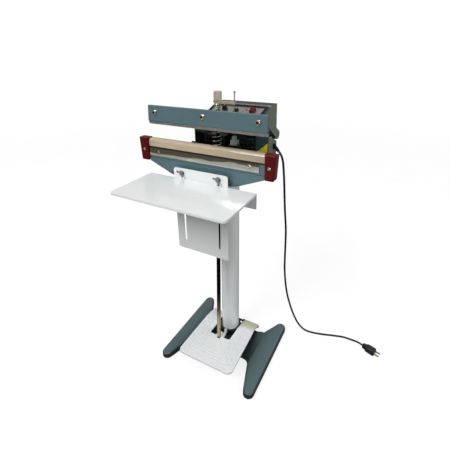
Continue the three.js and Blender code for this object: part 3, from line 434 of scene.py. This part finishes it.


def jaw_screw_steel():
    """Bright screw heads with painted shade in the socket and a painted shadow ring round the head, by
    distance from each axis.
    """
    material = metal("jaw_screw_steel", srgb(214, 208, 196), 0.22)
    tree = material.node_tree
    turns = calc(tree, "DIVIDE", object_axis(tree, "X"), JAW_SCREW_SPACING * MM)
    aside = calc(tree, "MULTIPLY", calc(tree, "SUBTRACT", turns, calc(tree, "ROUND", turns)),
                 JAW_SCREW_SPACING * MM)
    above = calc(tree, "SUBTRACT", object_axis(tree, "Z"), JAW_SCREW_HEIGHT * MM)
    away = calc(tree, "SQRT", calc(tree, "ADD", calc(tree, "MULTIPLY", aside, aside),
                                   calc(tree, "MULTIPLY", above, above)))
    socket = between(tree, away, JAW_SCREW_SOCKET[0] * MM, JAW_SCREW_SOCKET[1] * MM)
    shadow_ring = between(tree, away, JAW_SCREW_SHADOW_RING[0] * MM, JAW_SCREW_SHADOW_RING[1] * MM)
    # painted shade in each socket and a painted shadow ring round each head
    turn_color(tree, calc(tree, "MAXIMUM", socket, shadow_ring), srgb(38, 36, 34))
    return material


BAR_PIN_X = -9.7


def bar_plate():
    """Yellowed plate of the trigger bar, with the blackened end of the pin at its left."""
    material = metal("bar_plate", srgb(200, 190, 160), 0.36, (0.08, 1, 1), metallic=0.6)
    tree = material.node_tree
    turn_color(tree, below(tree, "X", BAR_PIN_X * MM), srgb(24, 22, 20))
    return material


WINDING_REAR = 21.6


def wound_core():
    """Transformer: dark laminations, with brown tape on the winding that stands out of the core."""
    material = metal("laminations", srgb(52, 52, 54), 0.5, (1, 1, 0.02), 300, 0.00008)
    tree = material.node_tree
    turn_color(tree, below(tree, "Y", WINDING_REAR * MM + ORIGIN_SHIFT_Y), srgb(34, 28, 20))
    return material


CORD_ROUTE = [           # from the gland on the housing down to the floor and along it to the plug
    (148.1, 45, 752.9), (151.5, 45.1, 749), (156, 45.5, 742), (160, 46, 732), (163.3, 47, 716),
    (165, 49, 697), (168, 53, 655), (170.5, 58, 600), (174, 63, 540), (178, 69, 480), (178.5, 74, 425),
    (178, 79, 370), (178, 85, 310), (181.5, 92, 250), (188.5, 100, 190), (201.5, 109, 130),
    (217.5, 119, 76), (237, 127, 34), (260, 133, 10.5), (288, 139, 4.1), (325, 148, 4.1),
    (372, 164, 4.1), (404, 173, 4.1), (434, 173, 5.4), (451, 170.2, 8.4), (463, 167, 9), (475, 163, 9),
]
PLUG_PLACE = CORD_ROUTE[-1]
PLUG_TURN = math.atan2(PLUG_PLACE[1] - CORD_ROUTE[-2][1], PLUG_PLACE[0] - CORD_ROUTE[-2][0])
PLUG_FACE = 46                       # from the cord's end along the plug
PLUG_RIB_PITCH = 2.6
PLUG_NECK_END, PLUG_NECK_FULL = 17, 14


def plug_rubber():
    """Moulded black plug with ribs over its neck, and bright pins past its face."""
    material = moulded("plug_rubber", srgb(19, 19, 20), 0.45, 0.00005, 900)
    tree = material.node_tree
    start = at(*PLUG_PLACE)
    along = calc(tree, "ADD", calc(tree, "MULTIPLY", object_axis(tree, "X"), math.cos(PLUG_TURN)),
                 calc(tree, "MULTIPLY", object_axis(tree, "Y"), math.sin(PLUG_TURN)))
    along = calc(tree, "SUBTRACT", along, start.x * math.cos(PLUG_TURN) + start.y * math.sin(PLUG_TURN))
    pins = between(tree, along, PLUG_FACE * MM, (PLUG_FACE + 0.4) * MM)
    turn_color(tree, pins, srgb(206, 196, 160))
    wave = calc(tree, "SINE", calc(tree, "MULTIPLY", along, 2 * math.pi / (PLUG_RIB_PITCH * MM)))
    ribs = calc(tree, "MULTIPLY", wave, between(tree, along, PLUG_NECK_END * MM, PLUG_NECK_FULL * MM))
    shader = tree.nodes["Principled BSDF"]
    under = shader.inputs["Normal"].links[0].from_socket
    tree.links.new(bump(tree, ribs, 0.0005, 0.8, under), shader.inputs["Normal"])
    tree.links.new(pins, shader.inputs["Metallic"])
    return material


STRIP_BRIGHT_HEIGHT, STRIP_DARK_REFLECTION_HEIGHT = 763, 767      # at the machine's middle; a dark painted reflection fades in between these
STRIP_REFLECTION_SLOPE = -0.03                              # the painted reflection reaches lower at the left
STRIP_REFLECTION_WANDER = 2.5


def wavy_strip():
    """Thin bright strip, pressed slightly wavy by its screws, with a dark reflection painted along its
    upper edge.
    """
    material = metal("mirror_strip", srgb(206, 208, 198), 0.1, (0.03, 1, 1), 700, 0.000002, 0.04,
                     0.015, metallic=0.72)
    tree = material.node_tree
    shader = tree.nodes["Principled BSDF"]
    waves = noise(tree, object_place(tree, (1, 0.2, 0.7)), 17, 1, 0.4)
    wander = spread(tree, waves, -STRIP_REFLECTION_WANDER * MM, STRIP_REFLECTION_WANDER * MM)
    slope = calc(tree, "MULTIPLY", object_axis(tree, "X"), STRIP_REFLECTION_SLOPE)
    rim = calc(tree, "ADD", calc(tree, "ADD", object_axis(tree, "Z"), wander), slope)
    painted_reflection = between(tree, rim, STRIP_BRIGHT_HEIGHT * MM, STRIP_DARK_REFLECTION_HEIGHT * MM)
    # painted reflection: the upper band darkened as if it mirrored something dark
    turn_color(tree, painted_reflection, srgb(106, 98, 83))
    under = shader.inputs["Normal"].links[0].from_socket
    tree.links.new(bump(tree, waves, 0.0016, 1.0, under), shader.inputs["Normal"])
    return material


ZINC = metal("dull_zinc", srgb(146, 150, 144), 0.34)
JAW_STEEL = jaw_screw_steel()
NODE_MATERIALS = {                   # the rest wear their slot's material
    "housing_shell": housing_enamel_painted_shade(),
    "lower_jaw_bar": jaw_bar_paint_and_shadow(),
    "base_casting": foot_enamel(),
    "pedal_plate": pedal_enamel(),
    "pull_rod": rod_steel(),
    "trigger_bar": bar_plate(),
    "transformer": wound_core(),
    "mains_plug": plug_rubber(),
    "clamp_strip": wavy_strip(),
    "pressure_cap": metal("cap_plate", srgb(212, 204, 180), 0.34, (1, 1, 0.06), metallic=0.55),
    "control_hood": hood_enamel(),
    # blue paint darkened with painted shade, as it stands inside the housing
    "housing_front_panel": painted("blue_enamel_painted_shade", srgb(38, 58, 68), 0.4, coat=0.2),
    "seal_relay": moulded("relay_cover", srgb(176, 184, 178), 0.25, coat=0.4),
    "pedal_hinge_pin": metal("blackened_pin", srgb(40, 40, 40), 0.4),
    "clamp_screw_left": metal("brassy_plate", srgb(188, 168, 118), 0.28),
    "clamp_screw_right": metal("nickel", srgb(206, 200, 184), 0.18),
    **{f"jaw_screw_{place}": JAW_STEEL for place in ("left", "middle", "right")},
    **{f"{kind}_bolt_{side}": ZINC for kind in ("wing", "flange") for side in ("left", "right")},
}


def wear_material(thing, material):
    thing.data.materials.clear()
    thing.data.materials.append(material)


# ------------------------------------------------------------------ carried-over CAD nodes
ROUND_EDGES = {          # edge radius in millimetres; the rest get DEFAULT_EDGE
    "base_casting": 1.6, "end_cap_left": 0.8, "end_cap_right": 0.8,
    "pedal_plate": 0.4, "body_casting": 1.0, "upper_jaw_beam": 0.8, "work_table": 0.5,
    "heating_element": 0.05, "yellow_label": 0.05, "lower_jaw_bar": 0.4, "ptfe_cover": 0.2,
}
DEFAULT_EDGE = 0.35
FLAT_WITHIN = math.radians(0.8)      # faces that turn less than this are merged
SHARP_FROM = math.radians(38)        # edges that turn more than this are rounded
PLAIN = ("power_cord", "return_spring", "pressure_spring")      # replaced below

slot_of = {entry["node"]: entry["material_slot"] for entry in frame["record"]["subparts"]}
for name, thing in nodes.items():
    wear_material(thing, NODE_MATERIALS.get(name) or SLOT_MATERIALS[slot_of[name]])
    if name in PLAIN:
        continue
    merge = thing.modifiers.new("merge_flat_faces", "DECIMATE")
    merge.decimate_type = "DISSOLVE"
    merge.angle_limit = FLAT_WITHIN
    rounding = thing.modifiers.new("round_edges", "BEVEL")
    rounding.width = ROUND_EDGES.get(name, DEFAULT_EDGE) * MM
    rounding.segments = 2
    rounding.limit_method = "ANGLE"
    rounding.angle_limit = SHARP_FROM
    rounding.harden_normals = False
    thing.data.shade_smooth()
    even = thing.modifiers.new("even_normals", "WEIGHTED_NORMAL")
    even.keep_sharp = True


def finished(name, mesh_or_curve, body, slot, material=None):
    """A visible piece that rides on a body; it wears its slot's material unless one is given."""
    piece = bpy.data.objects.new(name, mesh_or_curve)
    bpy.context.collection.objects.link(piece)
    wear_material(piece, material or SLOT_MATERIALS[slot])
    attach(piece, body)
    return piece


# ------------------------------------------------------------------ power cord
CORD_DIAMETER = 0.007


def centripetal_point(p0, p1, p2, p3, t):
    """A point of the centripetal Catmull-Rom curve between p1 and p2, t from 0 to 1."""
    k0 = 0.0
    k1 = k0 + max(1e-9, (p1 - p0).length) ** 0.5
    k2 = k1 + max(1e-9, (p2 - p1).length) ** 0.5
    k3 = k2 + max(1e-9, (p3 - p2).length) ** 0.5
    k = k1 + (k2 - k1) * t
    a1 = p0 * ((k1 - k) / (k1 - k0)) + p1 * ((k - k0) / (k1 - k0))
    a2 = p1 * ((k2 - k) / (k2 - k1)) + p2 * ((k - k1) / (k2 - k1))
    a3 = p2 * ((k3 - k) / (k3 - k2)) + p3 * ((k - k2) / (k3 - k2))
    b1 = a1 * ((k2 - k) / (k2 - k0)) + a2 * ((k - k0) / (k2 - k0))
    b2 = a2 * ((k3 - k) / (k3 - k1)) + a3 * ((k - k1) / (k3 - k1))
    return b1 * ((k2 - k) / (k2 - k1)) + b2 * ((k - k1) / (k2 - k1))


ROUTE_STEPS = 6          # points of the smooth route for each point that is given


def smooth_route(points):
    ends = [points[0] * 2 - points[1], *points, points[-1] * 2 - points[-2]]
    route = []
    for i in range(len(points) - 1):
        for step in range(ROUTE_STEPS):
            route.append(centripetal_point(*ends[i:i + 4], step / ROUTE_STEPS))
    return route + [points[-1]]


def tube(name, points, radius):
    curve = bpy.data.curves.new(name, "CURVE")
    curve.dimensions = "3D"
    curve.bevel_depth = radius
    curve.bevel_resolution = 6
    curve.use_fill_caps = True
    spline = curve.splines.new("POLY")
    spline.points.add(len(points) - 1)
    for point, place in zip(spline.points, points):
        point.co = (*place, 1)
    return curve


cord_points = smooth_route([at(*p) for p in CORD_ROUTE])
cord = finished("supply_cord", tube("supply_cord", cord_points, CORD_DIAMETER / 2), "frame", "black_rubber")
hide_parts("power_cord")


# ------------------------------------------------------------------ springs
WIRE_SIDES, TURN_STEPS = 12, 28
CLOSED_TURNS = 0.85      # turns closed up flat at each end
CLOSED_RISE = 0.035      # their share of the spring's height


def stack_rings(mesh, rings):
    """Closed skin through rings of equal point counts, with a face over each end."""
    made = [[mesh.verts.new(point) for point in ring] for ring in rings]
    count = len(made[0])
    for low, high in zip(made, made[1:]):
        for k in range(count):
            mesh.faces.new((low[k], low[(k + 1) % count], high[(k + 1) % count], high[k]))
    mesh.faces.new(made[0])
    mesh.faces.new(list(reversed(made[-1])))


def spring_mesh(name, mean_radius, wire_radius, low, high, turns, lean):
    """Coil with its end turns closed up flat, its axis leaning towards +Y by lean."""
    path = []
    count = int(turns * TURN_STEPS)
    closed = CLOSED_TURNS / turns
    for i in range(count + 1):
        t = i / count
        if t < closed:
            rise = CLOSED_RISE * t / closed
        elif t > 1 - closed:
            rise = 1 - CLOSED_RISE * (1 - t) / closed
        else:
            rise = CLOSED_RISE + (1 - 2 * CLOSED_RISE) * (t - closed) / (1 - 2 * closed)
        height = wire_radius + (high - low - 2 * wire_radius) * rise
        angle = 2 * math.pi * turns * t
        path.append(Vector((mean_radius * math.cos(angle), mean_radius * math.sin(angle), height)))
    rings = []
    for i, point in enumerate(path):
        along = (path[min(i + 1, count)] - path[max(i - 1, 0)]).normalized()
        outward = Vector((point.x, point.y, 0)).normalized()
        across = along.cross(outward).normalized()
        outward = across.cross(along).normalized()
        ring = []
        for k in range(WIRE_SIDES):
            around = 2 * math.pi * k / WIRE_SIDES
            ring.append(point + wire_radius * (math.cos(around) * outward + math.sin(around) * across))
        rings.append(ring)
    mesh = bmesh.new()
    stack_rings(mesh, rings)
    bmesh.ops.recalc_face_normals(mesh, faces=mesh.faces)
    data = bpy.data.meshes.new(name)
    mesh.to_mesh(data)
    mesh.free()
    data.transform(Matrix.Rotation(-lean, 4, "X"))
    data.shade_smooth()
    return data


SPRING_STEEL = metal("spring_steel", srgb(196, 200, 188), 0.28, metallic=0.7)


def placed_spring(name, cad_name, mean_radius, wire_radius, turns, lean, body, foot):
    """A spring as tall as the CAD node it replaces, standing on foot."""
    low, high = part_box(cad_name)
    data = spring_mesh(name, mean_radius, wire_radius, low.z, high.z, turns, lean)
    piece = finished(name, data, body, "chrome", SPRING_STEEL)
    data.transform(Matrix.Translation(foot))
    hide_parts(cad_name)
    return piece


ROD_FOOT_Y, ROD_FOOT_Z = -92, 55.4
ROD_LEAN = math.atan2(24, 812.6)                 # the rod leans 24 mm back over 812.6 mm of height
RETURN_SPRING_LEAN = math.atan2(2.1, 99)
return_spring = placed_spring("arm_return_spring", "return_spring", 0.0124, 0.0012, 9,
                              RETURN_SPRING_LEAN, "frame", at(0, -76, 747.0))
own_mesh(return_spring)
spring_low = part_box("pressure_spring")[0].z / MM
spring_y = ROD_FOOT_Y + (spring_low - ROD_FOOT_Z) * math.tan(ROD_LEAN)
placed_spring("rod_pressure_spring", "pressure_spring", 0.0086, 0.0013, 5, ROD_LEAN, "pull_rod",
              at(0, spring_y, spring_low))


# ------------------------------------------------------------------ control panel
PANEL_PLACE = at(35, -15, 881.6)
PANEL_SLOPE = math.atan2(11.5, 36)               # it rises 11.5 mm over 36 mm of depth
PANEL_TURN = Matrix.Translation(PANEL_PLACE) @ Matrix.Rotation(PANEL_SLOPE, 4, "X")
KNOBS = (                # body, CAD node, x and y on the panel, radius, height
    ("heat_knob", "heat_time_knob", -39, -3, 9, 13),
    ("cool_knob", "cool_time_knob", 0, -6, 8, 7),
)
FLUTES = 14
KNOB_PROFILE_LOW = ((0.3, 1.0, 0), (1.2, 1.0, 0), (2.0, 0.86, 0.5), (2.6, 0.8, 1))
KNOB_PROFILE_TOP = ((-1.4, 0.76, 1), (-0.5, 0.7, 0.7), (0, 0.6, 0.2), (-0.3, 0.45, 0), (-0.4, 0.1, 0))


def mesh_from(name, builder, smooth=True):
    mesh = bmesh.new()
    builder(mesh)
    bmesh.ops.recalc_face_normals(mesh, faces=mesh.faces)
    data = bpy.data.meshes.new(name)
    mesh.to_mesh(data)
    mesh.free()
    if smooth:
        data.shade_smooth()
    return data


def fluted_knob(radius, height):
    """Knob with a plain skirt and a fluted grip under a slightly dished cap."""
    sides = FLUTES * 8
    # each ring's height, share of the radius and depth of its flutes
    profile = [*KNOB_PROFILE_LOW,
               *((height + down, share, depth) for down, share, depth in KNOB_PROFILE_TOP)]

    def build(mesh):
        rings = []
        for level, share, depth in profile:
            ring = []
            for k in range(sides):
                angle = 2 * math.pi * k / sides
                groove = 1 - 0.08 * depth * max(0.0, math.cos(angle * FLUTES)) ** 2
                r = radius * share * groove * MM
                ring.append((r * math.cos(angle), r * math.sin(angle), level * MM))
            rings.append(ring)
        stack_rings(mesh, rings)
    return build


def thin_box(mesh, x0, x1, y0, y1, z0, z1, turn=Matrix.Identity(4)):
    corners = [mesh.verts.new(turn @ (Vector((x, y, z)) * MM)) for z in (z0, z1)
               for x, y in ((x0, y0), (x1, y0), (x1, y1), (x0, y1))]
    for face in ((3, 2, 1, 0), (4, 5, 6, 7), (0, 1, 5, 4), (1, 2, 6, 5), (2, 3, 7, 6), (3, 0, 4, 7)):
        mesh.faces.new([corners[i] for i in face])


INK = moulded("panel_ink", srgb(30, 30, 30), 0.6, specular=0.2)
WHITE_LINE = moulded("white_line", srgb(225, 225, 220), 0.5)

for body, cad_name, x, y, radius, height in KNOBS:
    place = PANEL_TURN @ Matrix.Translation(Vector((x, y, 0)) * MM)
    data = mesh_from(f"{body}_fluted", fluted_knob(radius, height))
    data.transform(place)
    knob = finished(f"{body}_fluted", data, body, "black_plastic")
    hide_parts(cad_name)
    data = mesh_from(f"{body}_line", lambda mesh: thin_box(
        mesh, -0.5, 0.5, radius * 0.15, radius * 0.62, height - 0.9, height + 0.15), smooth=False)
    data.transform(place)
    finished(f"{body}_line", data, body, "black_plastic", WHITE_LINE)


TICKS, TICK_STEP = 11, 27                        # over three quarters of a turn, in degrees
TICK_START, TICK_END, LONG_TICK_END = 1.5, 3.2, 4.6      # beyond the knob's radius
TICK_HALF, LINE_HALF = 0.25, 0.3
PRINT_LOW, PRINT_TOP = 0.02, 0.12                # the print stands out of the panel
SCALE_COLUMNS, SCALE_HALF_DEPTH = (-70, 22, 38, 64), 17


def panel_scales(mesh):
    """Ticks round each knob, and a ruled frame with lines on both sides of the lamp."""
    for _, _, x, y, radius, _ in KNOBS:
        for i in range(TICKS):
            angle = math.radians(TICK_STEP * (i - (TICKS - 1) / 2))
            end = LONG_TICK_END if i % 5 == 0 else TICK_END
            turn = Matrix.Translation(Vector((x, y, 0)) * MM) @ Matrix.Rotation(-angle, 4, "Z")
            thin_box(mesh, -TICK_HALF, TICK_HALF, radius + TICK_START, radius + end,
                     PRINT_LOW, PRINT_TOP, turn)
    for x in SCALE_COLUMNS:
        thin_box(mesh, x - LINE_HALF, x + LINE_HALF, -SCALE_HALF_DEPTH, SCALE_HALF_DEPTH,
                 PRINT_LOW, PRINT_TOP)
    for y in (-SCALE_HALF_DEPTH, SCALE_HALF_DEPTH):
        thin_box(mesh, SCALE_COLUMNS[0], SCALE_COLUMNS[-1], y - LINE_HALF, y + LINE_HALF,
                 PRINT_LOW, PRINT_TOP)


scales = mesh_from("panel_scales", panel_scales, smooth=False)
scales.transform(PANEL_TURN)
finished("panel_scales", scales, "upper_arm", "aluminium", INK)


LAMP_PLACE = (30, 2, 0)
LAMP_SIDES = 24
LAMP_PROFILE = ((3.2, 0.05), (3.2, 0.9), (2.6, 1.2), (2.4, 2.0), (1.9, 2.9), (1.0, 3.5), (0.2, 3.7))


def panel_lamp(mesh):
    """Small domed pilot lamp in its ring."""
    rings = []
    for radius, height in LAMP_PROFILE:
        angles = [2 * math.pi * k / LAMP_SIDES for k in range(LAMP_SIDES)]
        rings.append([(radius * MM * math.cos(a), radius * MM * math.sin(a), height * MM) for a in angles])
    stack_rings(mesh, rings)


LAMP_LENS = moulded("lamp_lens", srgb(170, 40, 34), 0.2, coat=0.5)
lamp = mesh_from("pilot_lamp", panel_lamp)
lamp.transform(PANEL_TURN @ Matrix.Translation(Vector(LAMP_PLACE) * MM))
finished("pilot_lamp", lamp, "upper_arm", "red_plastic", LAMP_LENS)


# ------------------------------------------------------------------ stage and light
FLOOR_CLEAR, FLOOR_END = 1.6, 5.0       # the floor fades into the white surround between these radii
FLOOR_GLOW = 0.78
FLOOR_HALF, FLOOR_DROP = 6, 0.0005


def pale_floor():
    """Pale floor that glows a little where it is seen, and gives back little light from below."""
    material, tree, shader = new_material("pale_floor")
    place = object_place(tree)
    set_color(tree, ramp(tree, noise(tree, place, 6, 3),
                         [(NOISE_LOW, (0.24,) * 3), (NOISE_HIGH, (0.26,) * 3)]))
    shader.inputs["Roughness"].default_value = 0.9
    shader.inputs["Specular IOR Level"].default_value = 0.0
    shader.inputs["Emission Color"].default_value = (1, 1, 1, 1)
    seen = node(tree, "ShaderNodeLightPath")
    tree.links.new(calc(tree, "MULTIPLY", seen.outputs["Is Camera Ray"], FLOOR_GLOW),
                   shader.inputs["Emission Strength"])
    radius = node(tree, "ShaderNodeVectorMath", _operation="LENGTH")
    tree.links.new(place, radius.inputs[0])
    fade = between(tree, radius.outputs["Value"], FLOOR_END, FLOOR_CLEAR)
    tree.links.new(fade, shader.inputs["Alpha"])
    return material


floor_mesh = bpy.data.meshes.new("studio_floor")
floor_corners = [(FLOOR_HALF * x, FLOOR_HALF * y, 0) for x, y in ((-1, -1), (1, -1), (1, 1), (-1, 1))]
floor_mesh.from_pydata(floor_corners, [], [(0, 1, 2, 3)])
floor = bpy.data.objects.new("studio_floor", floor_mesh)
floor.location = (0, 0, -FLOOR_DROP)
bpy.context.collection.objects.link(floor)
wear_material(floor, pale_floor())

# surround: brighter overhead than at the horizon for the light, plain white where it is seen
SKY_STOPS = [(0.0, (0.3, 0.295, 0.28)), (0.45, (0.52, 0.515, 0.5)), (1.0, (1.0, 1.0, 1.0))]
SKY_STRENGTH = 0.75

world = bpy.data.worlds.new("studio")
bpy.context.scene.world = world
world.use_nodes = True
sky_tree = world.node_tree
lit = sky_tree.nodes["Background"]
direction = node(sky_tree, "ShaderNodeTexCoord")
height = node(sky_tree, "ShaderNodeSeparateXYZ")
sky_tree.links.new(direction.outputs["Generated"], height.inputs[0])
sky_tree.links.new(ramp(sky_tree, height.outputs["Z"], SKY_STOPS), lit.inputs["Color"])
lit.inputs["Strength"].default_value = SKY_STRENGTH
seen = node(sky_tree, "ShaderNodeBackground", Color=(1, 1, 1, 1), Strength=1.0)
which = node(sky_tree, "ShaderNodeLightPath")
chosen = node(sky_tree, "ShaderNodeMixShader")
sky_tree.links.new(which.outputs["Is Camera Ray"], chosen.inputs[0])
sky_tree.links.new(lit.outputs[0], chosen.inputs[1])
sky_tree.links.new(seen.outputs[0], chosen.inputs[2])
sky_tree.links.new(chosen.outputs[0], sky_tree.nodes["World Output"].inputs["Surface"])


LIGHTS = (               # name, place, height it is aimed at, side of its square, watts
    ("front_key", (-0.9, -3.4, 4.0), 0.5, 2.2, 182),
    ("right_fill", (3.4, -0.6, 2.2), 0.6, 1.6, 38),
    ("rear_rim", (1.3, 3.0, 3.0), 0.6, 1.0, 5),
)


def soft_light(name, place, aim, side, power):
    data = bpy.data.lights.new(name, "AREA")
    data.shape = "SQUARE"
    data.size = side
    data.energy = power
    light = bpy.data.objects.new(name, data)
    light.location = place
    light.rotation_euler = (Vector((0, 0, aim)) - Vector(place)).to_track_quat("-Z", "Y").to_euler()
    bpy.context.collection.objects.link(light)


for settings in LIGHTS:
    soft_light(*settings)

bpy.context.scene.view_settings.view_transform = "Standard"
